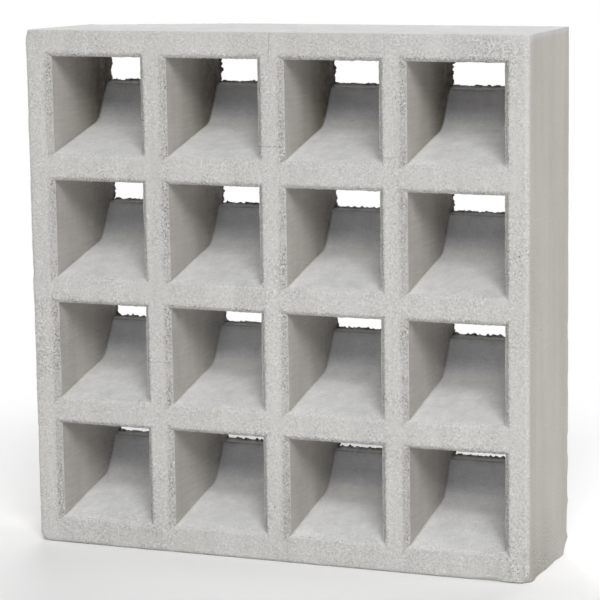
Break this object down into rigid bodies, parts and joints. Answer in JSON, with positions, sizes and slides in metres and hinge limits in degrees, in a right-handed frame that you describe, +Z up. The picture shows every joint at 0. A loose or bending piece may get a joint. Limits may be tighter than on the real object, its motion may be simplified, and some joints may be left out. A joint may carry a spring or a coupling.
{
  "type": "concrete screen block",
  "caption": "Square precast concrete ventilation screen block with a grid of openings, each stepping up from a wide front mouth over a sloping sill to a low slot at the back.",
  "frame": {"origin": "middle of the bed, the face the block stands on", "axes": "+Z up, +X across the face, front face towards -Y, back face towards +Y"},
  "size_m": [0.39, 0.1, 0.39],
  "materials": {
    "concrete": "light grey cast concrete, sandy front face, smooth mould-cast walls"
  },
  "bodies": {
    "root": {"screen_block": "concrete"}
  },
  "joints": []
}
